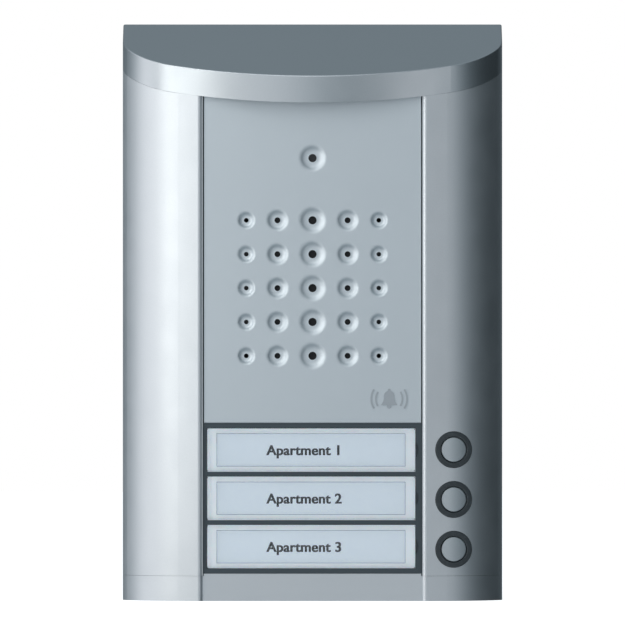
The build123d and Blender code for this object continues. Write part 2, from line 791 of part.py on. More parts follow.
block_poles = 10
pole_pitch = 5.0
block_z = -52.0
block_back = 5.6
pole_places = [((i - (block_poles - 1) / 2) * pole_pitch, block_z + 2.2) for i in range(block_poles)]
with BuildPart() as terminal_block:
    with BuildSketch(at_depth(block_back)):
        with Locations((0, block_z)):
            Rectangle(block_poles * pole_pitch + 1.6, 11.0)
    extrude(amount=main_board_depth - block_back)
    chamfer(terminal_block.faces().sort_by(Axis.Y)[-1].edges().filter_by(Axis.X), 1.2)
    with BuildSketch(at_depth(block_back)):
        with Locations(pole_places):
            Circle(1.9)
    extrude(amount=6.0, mode=Mode.SUBTRACT)
    # wire entries, facing down
    with BuildSketch(Plane.XY.offset(block_z - 5.5)):
        with Locations([(x, -main_board_depth + 3.6) for x, z in pole_places]):
            Rectangle(3.2, 3.4)
    extrude(amount=4.6, mode=Mode.SUBTRACT)
save(terminal_block, "terminal_block")

with BuildPart() as terminal_screws:
    with BuildSketch(at_depth(block_back + 1.2)):
        with Locations(pole_places):
            Circle(1.75)
    extrude(amount=4.8)
    with BuildSketch(at_depth(block_back + 1.2)):
        with Locations(pole_places):
            Rectangle(4.0, 0.6)
    extrude(amount=0.9, mode=Mode.SUBTRACT)
save(terminal_screws, "terminal_screws")

with BuildPart() as capacitors:
    with BuildSketch(at_depth(main_board_depth)):
        with Locations((-26.0, 46.0), (-26.0, 33.0), (-12.0, 50.0), (28.0, -24.0)):
            Circle(4.0)
    extrude(amount=-8.4)
    fillet(capacitors.faces().sort_by(Axis.Y)[-4:].edges(), 0.5)
save(capacitors, "capacitors")

with BuildPart() as amplifier_chip:
    with BuildSketch(at_depth(main_board_depth - 0.3)):
        with Locations((6.0, 34.0)):
            Rectangle(10.0, 16.0)
    extrude(amount=-2.4)
    chamfer(amplifier_chip.faces().sort_by(Axis.Y)[-1].edges(), 0.4)
    with BuildSketch(at_depth(main_board_depth)):
        with Locations((6.0, 34.0)):
            with GridLocations(11.2, 1.9, 2, 8):
                Rectangle(1.6, 0.7)
    extrude(amount=-1.4)
save(amplifier_chip, "amplifier_chip")

with BuildPart() as line_transformer:
    with BuildSketch(at_depth(main_board_depth)):
        with Locations((-20.0, -16.0)):
            Rectangle(18.0, 16.0)
    extrude(amount=-8.6)
    fillet(line_transformer.edges().filter_by(Axis.Y), 0.8)
    with BuildSketch(at_depth(main_board_depth - 2.0)):
        with Locations((-20.0, -16.0)):
            Rectangle(22.0, 10.0)
    extrude(amount=-4.6)
save(line_transformer, "line_transformer")

small_places = [(x, z) for x in (16.0, 20.0, 24.0) for z in (8.0, 2.0, -4.0)]
small_places += [(x, 62.0) for x in (-8.0, -2.0, 4.0)]
with BuildPart() as small_components:
    with BuildSketch(at_depth(main_board_depth)):
        with Locations(small_places):
            Rectangle(1.7, 3.2)
    extrude(amount=-1.1)
save(small_components, "small_components")

trimmer_place = (25.0, 46.0)
trimmer_back = 10.5
with BuildPart() as volume_trimmer:
    with BuildSketch(at_depth(main_board_depth)):
        with Locations(trimmer_place):
            RectangleRounded(9.5, 9.5, 0.6)
    extrude(amount=trimmer_back - main_board_depth)
    with BuildSketch(at_depth(trimmer_back)):
        with Locations(trimmer_place):
            Circle(3.0)
    extrude(amount=1.6, mode=Mode.SUBTRACT)
save(volume_trimmer, "volume_trimmer")

with BuildPart() as volume_rotor:
    with BuildSketch(at_depth(trimmer_back + 1.5)):
        with Locations(trimmer_place):
            Circle(2.7)
    extrude(amount=-2.3)
    with BuildSketch(at_depth(trimmer_back - 0.8)):
        with Locations(trimmer_place):
            Rectangle(0.8, 6.0)
    extrude(amount=0.9, mode=Mode.SUBTRACT)
    with BuildSketch(at_depth(trimmer_back - 0.8)):
        with Locations(trimmer_place):
            Rectangle(2.6, 0.8)
    extrude(amount=0.9, mode=Mode.SUBTRACT)
save(volume_rotor, "volume_rotor")

# ================= leads =================
lead_radius = 0.6
plug_depth = 18.7
with BuildPart() as speaker_plug:
    with BuildSketch(at_depth(main_board_front)):
        with Locations((-26.0, speaker_z)):
            Rectangle(5.0, 6.4)
    extrude(amount=4.0)
save(speaker_plug, "speaker_plug")

speaker_tag_x = -17.7
with BuildPart() as inner_leads:
    for z in (speaker_z - 1.3, speaker_z + 1.3):
        with BuildLine() as route:
            FilletPolyline((speaker_tag_x, -speaker_back, z), (speaker_tag_x, -plug_depth, z),
                           (-23.5, -plug_depth, z), radius=2.4)
        with BuildSketch(Plane(origin=(speaker_tag_x, -speaker_back, z), z_dir=(0, 1, 0))):
            Circle(lead_radius)
        sweep(path=route.line)
    # straight pairs from the microphone and from the lamps' board
    for height, end in ((microphone_height, capsule_back), (led_lead_z, led_board_back)):
        with BuildSketch(at_depth(main_board_front)):
            with Locations((-1.2, height), (1.2, height)):
                Circle(lead_radius)
        extrude(amount=end - main_board_front)
save(inner_leads, "inner_leads")

ribbon_depth = 19.8
with BuildPart() as button_ribbon:
    with BuildSketch(Plane.XY.offset(button_middle - 4)):
        with BuildLine() as route:
            FilletPolyline((ribbon_x, -carrier_front), (ribbon_x, -ribbon_depth), (37.0, -ribbon_depth),
                           (37.0, -main_board_front), radius=1.4)
        trace(line_width=0.8)
    extrude(amount=8.0)
save(button_ribbon, "button_ribbon")

# ================= screws =================
shell_places = cap_places + panel_places + frame_places
screw_groups = [
    screw_group(profile_places, tip_depth=carrier_front + 2.6, head_depth=carrier_back),
    screw_group(shell_places, tip_depth=carrier_front + 7, head_depth=carrier_back),
    screw_group(board_places, tip_depth=carrier_back - 1, head_depth=main_board_depth),
]
with BuildPart() as self_tapping_screws:
    for group in screw_groups:
        add(group)
save(self_tapping_screws, "self_tapping_screws")

# ================= wall base =================
plate_half = 64.0
plate_top = 104.0
plate_bottom = lower_ear
plate_middle = (plate_top + plate_bottom) / 2
plate_height = plate_top - plate_bottom
wall_holes = [(x, z) for x in (-wall_hole_x, wall_hole_x) for z in (-wall_hole_z, wall_hole_z)]
foot_width = 14.0
foot_height = 12.0
foot_thickness = 1.5
hinge_feet = [(-56.5, upper_ear - 2), (-56.5, lower_ear + foot_height / 2)]
lock_foot = (53.0, lock_tab + ear_height / 2)
stake_radius = 1.2
hinge_stakes = [(x + 3.5, z + dz) for x, z in hinge_feet for dz in (-3.5, 3.5)]
lock_stakes = [(lock_foot[0] - 1.0, lock_foot[1] + dz) for dz in (-3.5, 3.5)]
stakes = hinge_stakes + lock_stakes
collar_front = base_thickness + 1.5
seal_thickness = 1.2
with BuildPart() as base_plate:
    with BuildSketch(at_depth(0)):
        with Locations((0, plate_middle)):
            RectangleRounded(2 * plate_half, plate_height, 2.0)
    extrude(amount=base_thickness)
    # low rim around the edge, and two ribs
    with BuildSketch(at_depth(base_thickness)):
        with Locations((0, plate_middle)):
            RectangleRounded(2 * plate_half, plate_height, 2.0)
            RectangleRounded(2 * plate_half - 4, plate_height - 4, 1.0, mode=Mode.SUBTRACT)
        with Locations((-30.0, 20.0), (30.0, 20.0)):
            Rectangle(2.0, 140.0)
        with Locations((plate_half - 6, plate_bottom + 6)):
            Rectangle(16.0, 14.0, mode=Mode.SUBTRACT)
        with Locations(hinge_feet):
            Rectangle(foot_width + 2, foot_height, mode=Mode.SUBTRACT)
    extrude(amount=3.0)
    # collars around the wall holes and the cable inlet
    with BuildSketch(at_depth(base_thickness)):
        with Locations(wall_holes):
            Circle(6.0)
        with Locations((0, cable_z)):
            Circle(inlet_radius + 4)
    extrude(amount=collar_front - base_thickness)
    with BuildSketch(at_depth(0)):
        with Locations(wall_holes):
            Circle(wall_hole_radius)
        with Locations((0, cable_z)):
            Circle(inlet_radius)
    extrude(amount=collar_front, mode=Mode.SUBTRACT)
    # groove for the wall seal
    with BuildSketch(at_depth(0)):
        with Locations((0, plate_middle)):
            Rectangle(2 * plate_half - 6, plate_height - 6)
            Rectangle(2 * plate_half - 12, plate_height - 12, mode=Mode.SUBTRACT)
    extrude(amount=seal_thickness, mode=Mode.SUBTRACT)
    # stakes through the brackets' feet, with spread heads
    with BuildSketch(at_depth(base_thickness)):
        with Locations(stakes):
            Circle(stake_radius)
    extrude(amount=foot_thickness)
    with BuildSketch(at_depth(base_thickness + foot_thickness)):
        with Locations(stakes):
            Circle(stake_radius + 0.8)
    extrude(amount=0.8)
save(base_plate, "base_plate")

with BuildPart() as hinge_brackets:
    with BuildSketch(at_depth(base_thickness)):
        with Locations(hinge_feet):
            Rectangle(foot_width, foot_height)
    extrude(amount=foot_thickness)
    # arms that reach over the rim to the hinge pins
    for under in (upper_ear, lower_ear):
        with BuildSketch(Plane.XY.offset(under)):
            with Locations((hinge_x, -hinge_depth)):
                Circle(hinge_boss_radius)
            with Locations((hinge_x + 6.0, -hinge_depth)):
                Rectangle(12.0, 4.0)
            with Locations((hinge_x + 10.0, -(base_thickness + hinge_depth) / 2)):
                Rectangle(4.0, hinge_depth - base_thickness)
        extrude(amount=ear_height)
        with BuildSketch(Plane.XY.offset(under)):
            with Locations((hinge_x, -hinge_depth)):
                Circle(hinge_pin_radius + hinge_clearance)
        extrude(amount=ear_height, mode=Mode.SUBTRACT)
    with BuildSketch(at_depth(base_thickness)):
        with Locations(hinge_stakes):
            Circle(stake_radius)
    extrude(amount=foot_thickness, mode=Mode.SUBTRACT)
save(hinge_brackets, "hinge_brackets")

with BuildPart() as lock_bracket:
    with BuildSketch(at_depth(base_thickness)):
        with Locations(lock_foot):
            Rectangle(foot_width, foot_height)
        with Locations(lock_stakes):
            Circle(stake_radius, mode=Mode.SUBTRACT)
    extrude(amount=foot_thickness)
    # tab that the lock screw goes up into
    with BuildSketch(Plane.XY.offset(lock_tab)):
        with Locations((58.0, -5.25)):
            Rectangle(4.0, 5.5)
        with Locations((63.0, -10.6)):
            Rectangle(14.0, 8.8)
        with Locations((lock_x, -lock_depth)):
            Circle(lock_hole, mode=Mode.SUBTRACT)
    extrude(amount=ear_height)
save(lock_bracket, "lock_bracket")

with BuildPart() as wall_seal:
    with BuildSketch(at_depth(0)):
        with Locations((0, plate_middle)):
            Rectangle(2 * plate_half - 6, plate_height - 6)
            Rectangle(2 * plate_half - 12, plate_height - 12, mode=Mode.SUBTRACT)
    extrude(amount=seal_thickness)
save(wall_seal, "wall_seal")

with BuildPart() as cable_grommet:
    with BuildSketch(Plane(origin=(0, 0, cable_z))):
        with BuildLine():
            Polyline((cable_radius, 0), (inlet_radius, 0), (inlet_radius, -collar_front),
                     (inlet_radius + 2.5, -collar_front), (inlet_radius + 2.0, -collar_front - 1.5),
                     (cable_radius, -collar_front - 1.5), close=True)
        make_face()
    revolve(axis=Axis((0, 0, cable_z), (0, 1, 0)))
save(cable_grommet, "cable_grommet")

pin_length = 10.8
with BuildPart() as hinge_pins:
    for low in (upper_boss + hinge_seat - pin_length, lower_boss - lower_seat):
        with BuildSketch(Plane.XY.offset(low)):
            with Locations((hinge_x, -hinge_depth)):
                Circle(hinge_pin_radius)
        extrude(amount=pin_length)
save(hinge_pins, "hinge_pins")

with BuildPart() as thrust_washers:
    for low in (upper_ear + ear_height, lower_ear - washer_thickness):
        with BuildSketch(Plane.XY.offset(low)):
            with Locations((hinge_x, -hinge_depth)):
                Circle(hinge_boss_radius)
                Circle(hinge_pin_radius + hinge_clearance, mode=Mode.SUBTRACT)
        extrude(amount=washer_thickness)
save(thrust_washers, "thrust_washers")

# ================= lock screw =================
lock_head_bottom = -half_height + 0.4
lock_head_top = lock_head_bottom + 3.2
with BuildPart() as lock_screw:
    with BuildSketch(Plane.XY.offset(lock_head_bottom)):
        with Locations((lock_x, -lock_depth)):
            Circle(3.6)
    extrude(amount=lock_head_top - lock_head_bottom)
    chamfer(lock_screw.faces().sort_by(Axis.Z)[0].edges(), 0.4)
    with BuildSketch(Plane.XY.offset(lock_head_top)):
        with Locations((lock_x, -lock_depth)):
            Circle(lock_shank)
    extrude(amount=lock_tab - 0.5 - lock_head_top)
    chamfer(lock_screw.faces().sort_by(Axis.Z)[-1].edges(), 0.5)
    with BuildSketch(Plane.XY.offset(lock_head_bottom)):
        with Locations((lock_x, -lock_depth)):
            RegularPolygon(1.8, 6)
    extrude(amount=2.0, mode=Mode.SUBTRACT)
save(lock_screw, "lock_screw")

with BuildPart() as lock_screw_clip:
    with BuildSketch(Plane.XY.offset(-half_height + lock_seat + 0.05)):
        with Locations((lock_x, -lock_depth)):
            Circle(3.3)
            Circle(lock_shank, mode=Mode.SUBTRACT)
        with Locations((lock_x + 2.5, -lock_depth)):
            Rectangle(3.0, 2.2, mode=Mode.SUBTRACT)
    extrude(amount=0.6)
save(lock_screw_clip, "lock_screw_clip")
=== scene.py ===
import json
import math

import bmesh
import bpy
from mathutils import Matrix, Vector


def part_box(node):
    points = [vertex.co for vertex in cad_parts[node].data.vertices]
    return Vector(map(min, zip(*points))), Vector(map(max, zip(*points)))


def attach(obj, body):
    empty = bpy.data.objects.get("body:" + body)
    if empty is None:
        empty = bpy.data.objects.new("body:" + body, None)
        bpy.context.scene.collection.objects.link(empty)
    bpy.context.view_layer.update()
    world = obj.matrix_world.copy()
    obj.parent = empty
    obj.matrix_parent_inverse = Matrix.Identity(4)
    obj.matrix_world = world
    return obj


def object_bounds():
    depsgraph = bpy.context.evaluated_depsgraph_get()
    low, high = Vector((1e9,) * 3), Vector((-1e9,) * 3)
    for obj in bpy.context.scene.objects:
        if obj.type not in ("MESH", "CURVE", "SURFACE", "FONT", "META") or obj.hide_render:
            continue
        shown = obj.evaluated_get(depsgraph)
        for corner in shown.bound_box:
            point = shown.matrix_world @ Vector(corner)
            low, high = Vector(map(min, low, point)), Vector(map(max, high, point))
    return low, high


# The looks of the door intercom panel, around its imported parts.
# +Z is up, the front looks along -Y, and lengths are in metres unless a name says millimetres.

MM = 0.001

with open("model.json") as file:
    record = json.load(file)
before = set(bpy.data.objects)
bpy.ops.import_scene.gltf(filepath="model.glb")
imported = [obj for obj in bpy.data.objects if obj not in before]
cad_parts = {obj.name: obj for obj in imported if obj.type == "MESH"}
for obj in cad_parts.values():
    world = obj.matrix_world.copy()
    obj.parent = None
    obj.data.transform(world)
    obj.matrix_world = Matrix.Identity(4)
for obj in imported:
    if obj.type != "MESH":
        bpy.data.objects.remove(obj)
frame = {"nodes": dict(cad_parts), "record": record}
cad_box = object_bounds()
parts = frame["nodes"]
slot_of = {part["node"]: part["material_slot"] for part in frame["record"]["subparts"]}


# ---------------------------------------------------------------- materials

class Finish:
    """One material: a single Principled shader, and short calls that add the nodes which feed it."""

    def __init__(self, name, **settings):
        self.material = bpy.data.materials.new(name)
        self.material.use_nodes = True
        self.nodes = self.material.node_tree.nodes
        self.links = self.material.node_tree.links
        self.shader = self.nodes["Principled BSDF"]
        self.normal = None
        for socket, value in settings.items():
            self.set(socket.replace("_", " "), value)

    def set(self, socket, value):
        """Give one input of the shader a fixed value, or feed it from another node."""
        self.feed(self.shader.inputs[socket], value)

    def feed(self, target, value):
        if isinstance(value, bpy.types.NodeSocket):
            self.links.new(value, target)
        elif target.type == "RGBA" and len(value) == 3:
            target.default_value = (*value, 1.0)
        else:
            target.default_value = value

    def add(self, kind, inputs, **settings):
        node = self.nodes.new("ShaderNode" + kind)
        for key, value in settings.items():
            setattr(node, key, value)
        for socket, value in inputs.items():
            self.feed(node.inputs[socket], value)
        return node

    def place(self, stretch=(1, 1, 1)):
        """The point on the piece in millimetres, with each axis multiplied by stretch."""
        point = self.add("TexCoord", {}).outputs["Object"]
        scale = [factor / MM for factor in stretch]
        return self.add("VectorMath", {0: point, 1: scale}, operation="MULTIPLY").outputs[0]

    def along(self, axis):
        """Where the point lies along X, Y or Z, in millimetres."""
        return self.add("SeparateXYZ", {0: self.place()}).outputs[axis]

    def noise(self, per_mm, detail=3.0, stretch=(1, 1, 1), rough=0.55):
        inputs = {"Vector": self.place(stretch), "Scale": per_mm, "Detail": detail, "Roughness": rough}
        return self.add("TexNoise", inputs).outputs["Fac"]

    def cells(self, per_mm, feature="F1"):
        inputs = {"Vector": self.place(), "Scale": per_mm}
        return self.add("TexVoronoi", inputs, feature=feature).outputs["Distance"]

    def sine(self, axis, pitch_mm, shift_mm=0.0):
        """A wave from 0 to 1 along one axis."""
        angle = self.math("MULTIPLY_ADD", self.along(axis), 2 * math.pi / pitch_mm,
                          2 * math.pi * shift_mm / pitch_mm)
        return self.math("MULTIPLY_ADD", self.math("SINE", angle), 0.5, 0.5)

    def math(self, operation, *values):
        return self.add("Math", dict(enumerate(values)), operation=operation).outputs[0]

    def span(self, value, low, high, start=0.0, end=1.0):
        """value from low to high, moved to the span from start to end and held inside it."""
        inputs = {"Value": value, "From Min": low, "From Max": high, "To Min": start, "To Max": end}
        return self.add("MapRange", inputs).outputs["Result"]

    def mix(self, share, first, second):
        """A colour that goes from first to second with share."""
        node = self.add("Mix", {"Factor": share}, data_type="RGBA")
        self.feed(node.inputs[6], first)
        self.feed(node.inputs[7], second)
        return node.outputs[2]

    def bump(self, height, depth_mm, strength=1.0):
        """Raise the surface by up to depth_mm where height is 1, on top of the bumps before it."""
        inputs = {"Height": height, "Distance": depth_mm * MM, "Strength": strength}
        if self.normal:
            inputs["Normal"] = self.normal
        self.normal = self.add("Bump", inputs).outputs["Normal"]
        self.set("Normal", self.normal)


def shade(colour, factor):
    return tuple(min(1.0, channel * factor) for channel in colour)


def anodised(name, colour, roughness, lines=0.0, blast=0.006):
    """Bead-blasted, satin anodised aluminium, with faint extrusion lines along Z if lines is above 0."""
    finish = Finish(name, Metallic=1.0)
    cloud = finish.noise(0.018, 2.0)
    sparkle = finish.noise(5.0, 2.0)
    tone = finish.mix(cloud, shade(colour, 0.97), shade(colour, 1.02))
    finish.set("Base Color", finish.mix(finish.span(sparkle, 0.35, 0.65), shade(colour, 0.94), tone))
    worn = finish.span(finish.noise(0.09, 5.0), 0.3, 0.7, roughness - 0.025, roughness + 0.03)
    finish.set("Roughness", worn)
    finish.bump(finish.noise(4.2, 3.0, rough=0.65), blast)
    if lines:
        finish.bump(finish.noise(2.4, 4.0, stretch=(1.0, 1.0, 0.012)), lines)
    return finish


def moulded(name, colour, roughness, grain=0.012, per_mm=2.6, metallic=0.0):
    """Injection-moulded plastic with a fine spark-eroded grain."""
    finish = Finish(name, Metallic=metallic)
    cloud = finish.noise(0.03, 3.0)
    finish.set("Base Color", finish.mix(cloud, shade(colour, 0.86), shade(colour, 1.12)))
    worn = finish.span(finish.noise(0.4, 4.0), 0.3, 0.7, roughness - 0.06, roughness + 0.06)
    finish.set("Roughness", worn)
    finish.bump(finish.noise(per_mm, 3.0, rough=0.7), grain)
    return finish


def plated(name, colour, roughness):
    """Zinc-plated steel, with drawing lines and faint stains."""
    finish = Finish(name, Metallic=1.0)
    stain = finish.span(finish.noise(0.5, 4.0), 0.35, 0.7)
    finish.set("Base Color", finish.mix(stain, colour, (colour[0], colour[1] * 0.95, colour[2] * 0.83)))
    worn = finish.span(finish.noise(1.6, 4.0), 0.3, 0.7, roughness - 0.07, roughness + 0.08)
    finish.set("Roughness", worn)
    finish.bump(finish.noise(5.0, 2.0), 0.008)
    return finish


def turned_metal(name, colour, centre):
    """Satin metal with the fine rings that a lathe leaves around a centre."""
    ring_pitch = 0.16
    ring_depth = 0.0022
    finish = anodised(name, colour, 0.36, blast=0.003)
    across = finish.math("SUBTRACT", finish.along("X"), centre.x / MM)
    up = finish.math("SUBTRACT", finish.along("Z"), centre.z / MM)
    radius = finish.math("SQRT", finish.math("ADD", finish.math("POWER", across, 2.0),
                                             finish.math("POWER", up, 2.0)))
    ring = finish.math("SINE", finish.math("MULTIPLY", radius, 2 * math.pi / ring_pitch))
    finish.bump(finish.math("MULTIPLY_ADD", ring, 0.5, 0.5), ring_depth)
    return finish


def clear_acrylic():
    finish = Finish("clear_acrylic", Base_Color=(0.965, 0.985, 1.0, 1.0), Transmission_Weight=1.0, IOR=1.49)
    finish.set("Roughness", finish.span(finish.noise(0.25, 4.0), 0.35, 0.75, 0.04, 0.10))
    finish.bump(finish.noise(0.12, 2.0), 0.015)
    finish.bump(finish.noise(3.0, 2.0), 0.003)
    return finish


# colour of a painted glow: the card and the light guide emit it themselves, no lamp lights them
painted_glow_colour = (0.80, 0.90, 1.0)


def card_paper():
    """Pale card that glows by itself with a painted backlight glow, in place of light from the light guide.
    """
    finish = Finish("card_paper", Roughness=0.85)
    fibre = finish.noise(3.2, 4.0, stretch=(1.0, 1.0, 0.25))
    finish.set("Base Color", finish.mix(fibre, (0.72, 0.80, 0.87), (0.80, 0.87, 0.93)))
    # painted glow: the card shines by itself
    finish.set("Emission Color", painted_glow_colour)
    finish.set("Emission Strength", 0.17)
    finish.bump(fibre, 0.01)
    return finish


def opal():
    finish = Finish("opal_plastic", Roughness=0.5, Subsurface_Weight=0.3, Subsurface_Scale=0.002)
    # painted glow: the light guide shines by itself, no lamp feeds it
    finish.set("Emission Color", painted_glow_colour)
    finish.set("Emission Strength", 0.25)
    finish.set("Base Color", finish.mix(finish.noise(0.2), (0.76, 0.79, 0.80), (0.86, 0.88, 0.89)))
    finish.bump(finish.noise(2.0, 2.0), 0.01)
    return finish


def rubber(name, colour):
    finish = Finish(name)
    dust = finish.span(finish.noise(0.8, 6.0), 0.52, 0.8)
    finish.set("Base Color", finish.mix(dust, colour, shade(colour, 1.7)))
    finish.set("Roughness", finish.span(finish.noise(1.5, 3.0), 0.3, 0.7, 0.48, 0.62))
    finish.bump(finish.noise(3.5, 3.0), 0.012)
    return finish


def foam():
    finish = Finish("closed_cell_foam", Roughness=0.95)
    cell = finish.cells(1.8)
    wall = finish.span(cell, 0.1, 0.6)
    # the cell hollows are painted darker than the walls between them: painted shade in the pits
    finish.set("Base Color", finish.mix(wall, (0.018, 0.018, 0.02), (0.07, 0.07, 0.075)))
    finish.bump(cell, 0.25)
    return finish


def solder_mask():
    """Green board, with buried copper fill and the weave of the glass fibre showing faintly through."""
    finish = Finish("solder_mask", Coat_Weight=0.35, Coat_Roughness=0.2)
    copper = finish.span(finish.cells(0.22, "DISTANCE_TO_EDGE"), 0.03, 0.045)
    tone = finish.mix(copper, (0.020, 0.147, 0.059), (0.022, 0.160, 0.062))
    weave_pitch = 0.9
    weave = finish.math("MULTIPLY", finish.sine("X", weave_pitch), finish.sine("Z", weave_pitch))
    finish.set("Base Color", finish.mix(finish.math("MULTIPLY", weave, 0.25), tone, (0.05, 0.22, 0.10)))
    finish.set("Roughness", finish.span(finish.noise(0.8, 3.0), 0.3, 0.7, 0.32, 0.45))
    finish.bump(copper, 0.01)
    finish.bump(weave, 0.008)
    return finish


def lamp():
    """Surface-mounted lamp: white body with a yellow phosphor well at its front."""
    finish = Finish("lamp_body", Roughness=0.35, Coat_Weight=0.3)
    front = -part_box("backlight_leds")[0].y / MM
    well_depth = 0.3
    fade = 0.02
    outward = finish.math("MULTIPLY", finish.along("Y"), -1.0)
    well = finish.span(outward, front - well_depth - fade, front - well_depth + fade)
    finish.set("Base Color", finish.mix(well, (0.72, 0.62, 0.16), (0.80, 0.79, 0.74)))
    finish.bump(finish.noise(2.0, 3.0), 0.02)
    return finish


def capacitor():
    """Dark shrink sleeve with a pale stripe, and a bare aluminium end that faces the wall."""
    back = -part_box("capacitors")[1].y / MM
    bare_depth = 0.25
    fade = 0.1
    finish = Finish("capacitor_can")
    outward = finish.math("MULTIPLY", finish.along("Y"), -1.0)
    end = finish.span(outward, back + bare_depth + fade, back + bare_depth)
    stripe = finish.span(finish.sine("X", 14.0, -1.0), 0.93, 0.96)
    sleeve = finish.mix(stripe, (0.012, 0.016, 0.05), (0.45, 0.47, 0.50))
    finish.set("Base Color", finish.mix(end, sleeve, (0.74, 0.75, 0.76)))
    finish.set("Metallic", end)
    finish.set("Roughness", finish.span(end, 0.0, 1.0, 0.28, 0.38))
    finish.bump(finish.noise(1.5, 2.0), 0.03)
    return finish


def transformer():
    """Varnished sheets of an iron core, with brown winding tape in patches."""
    finish = Finish("transformer_core", Coat_Weight=0.25)
    sheets = finish.sine("Y", 0.7)
    core = finish.mix(sheets, (0.10, 0.08, 0.06), (0.30, 0.24, 0.15))
    tape = finish.span(finish.noise(0.4, 4.0), 0.3, 0.7)
    finish.set("Base Color", finish.mix(tape, core, (0.45, 0.28, 0.05)))
    finish.set("Roughness", finish.span(finish.noise(0.7), 0.3, 0.7, 0.35, 0.6))
    finish.bump(sheets, 0.05)
    return finish


def ceramic_chip():
    """Small surface-mounted parts with tinned ends."""
    finish = Finish("ceramic_chip", Roughness=0.42)
    ends = finish.span(finish.sine("Z", 6.0, 1.5), 0.62, 0.66)
    finish.set("Base Color", finish.mix(ends, (0.22, 0.15, 0.09), (0.70, 0.71, 0.72)))
    finish.set("Metallic", ends)
    finish.bump(finish.noise(2.0), 0.02)
    return finish


def cone_paper():
    finish = Finish("cone_paper", Roughness=0.8)
    fibre = finish.noise(1.6, 6.0, stretch=(1.0, 0.4, 1.0))
    finish.set("Base Color", finish.mix(fibre, (0.012, 0.012, 0.013), (0.06, 0.06, 0.062)))
    finish.bump(fibre, 0.06)
    return finish


def woven_wire():
    """Black wire cloth: two sets of crossing wires that pass over and under, with painted shade in the gaps
    between them.
    """
    finish = Finish("woven_wire", Metallic=0.5, Roughness=0.5)
    pitch = 0.5
    warp = finish.sine("X", pitch)
    weft = finish.sine("Z", pitch)
    wires = finish.math("MAXIMUM", warp, weft)
    metal = finish.span(wires, 0.45, 0.8)
    # the gaps between the wires are painted near-black: painted shade in the openings
    finish.set("Base Color", finish.mix(metal, (0.001, 0.001, 0.001), (0.022, 0.022, 0.024)))
    finish.bump(wires, 0.15)
    return finish


def insulated_wire():
    """Soft glossy insulation, one wire of each pair red and the other black."""
    finish = Finish("lead_insulation", Roughness=0.33, Coat_Weight=0.2)
    pair = finish.span(finish.sine("X", 4.8), 0.49, 0.51)
    finish.set("Base Color", finish.mix(pair, (0.42, 0.02, 0.015), (0.015, 0.015, 0.016)))
    finish.bump(finish.noise(0.8, 3.0), 0.03)
    return finish


def flat_cable():
    """Grey ribbon cable: conductors side by side along Z, the first one marked red, with painted shade in
    the grooves between the conductors.
    """
    finish = Finish("flat_cable", Roughness=0.4)
    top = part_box("button_ribbon")[1].z / MM
    wire_pitch = 1.0
    fade = 0.05
    wires = finish.sine("Z", wire_pitch)
    marked = finish.span(finish.along("Z"), top - wire_pitch - fade, top - wire_pitch + fade)
    # the grooves between the conductors are painted darker than their crests: painted shade
    grey_with_painted_groove_shade = finish.mix(wires, (0.20, 0.20, 0.21), (0.40, 0.40, 0.41))
    finish.set("Base Color", finish.mix(marked, grey_with_painted_groove_shade, (0.45, 0.03, 0.02)))
    finish.bump(wires, 0.3)
    return finish


def ink(name, colour):
    finish = Finish(name, Roughness=0.6)
    finish.set("Base Color", finish.mix(finish.noise(2.0, 4.0), shade(colour, 0.8), shade(colour, 1.25)))
    finish.bump(finish.noise(5.0, 2.0), 0.004)
    return finish


def tinned():
    finish = Finish("tinned_copper", Metallic=1.0)
    finish.set("Base Color", finish.mix(finish.noise(1.2, 4.0), (0.62, 0.62, 0.60), (0.80, 0.80, 0.79)))
    finish.set("Roughness", finish.span(finish.noise(2.5), 0.3, 0.7, 0.2, 0.38))
    finish.bump(finish.noise(1.8, 3.0), 0.03)
    return finish


finishes = {
    "profile_aluminium": anodised("profile_aluminium", (0.74, 0.775, 0.80), 0.45, lines=0.003),
    # the roof and lip aluminium is a darker copy of the wings' aluminium: painted shade on the cap
    "cap_aluminium": anodised("cap_aluminium", (0.61, 0.65, 0.675), 0.32),
    "panel_aluminium": anodised("panel_aluminium", (0.74, 0.80, 0.835), 0.52, blast=0.008),
    "symbol_relief": anodised("symbol_relief", (0.56, 0.60, 0.63), 0.34),
    "frame_plastic": moulded("frame_plastic", (0.030, 0.045, 0.055), 0.48),
    "clear_plastic": clear_acrylic(),
    "card_stock": card_paper(),
    "opal_plastic": opal(),
    "ring_rubber": rubber("ring_rubber", (0.022, 0.030, 0.035)),
    "black_plastic": moulded("black_plastic", (0.018, 0.018, 0.020), 0.45),
    "base_plastic": moulded("base_plastic", (0.060, 0.064, 0.070), 0.55, grain=0.02, per_mm=1.8),
    "bracket_zinc": plated("bracket_zinc", (0.46, 0.47, 0.48), 0.45),
    "foam": foam(),
    "circuit_board": solder_mask(),
    "lamp": lamp(),
    "green_plastic": moulded("green_plastic", (0.035, 0.25, 0.085), 0.38),
    "blue_plastic": moulded("blue_plastic", (0.02, 0.09, 0.36), 0.33),
    "white_plastic": moulded("white_plastic", (0.72, 0.71, 0.66), 0.42),
    "screw_steel": plated("screw_steel", (0.62, 0.63, 0.62), 0.33),
    "basket_steel": moulded("basket_steel", (0.05, 0.05, 0.053), 0.42, metallic=0.35),
    "magnet_ferrite": moulded("magnet_ferrite", (0.035, 0.035, 0.038), 0.62, grain=0.04, metallic=0.4),
    "cone_paper": cone_paper(),
    "mesh_steel": woven_wire(),
    "capacitor_sleeve": capacitor(),
    "transformer_core": transformer(),
    "lead_insulation": insulated_wire(),
}
own_finish = {"button_ribbon": flat_cable(), "small_components": ceramic_chip(),
              "bottom_cap": finishes["profile_aluminium"]}


def button_finish(node):
    low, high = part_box(node)
    return turned_metal(f"{node}_metal", (0.60, 0.65, 0.675), (low + high) / 2)


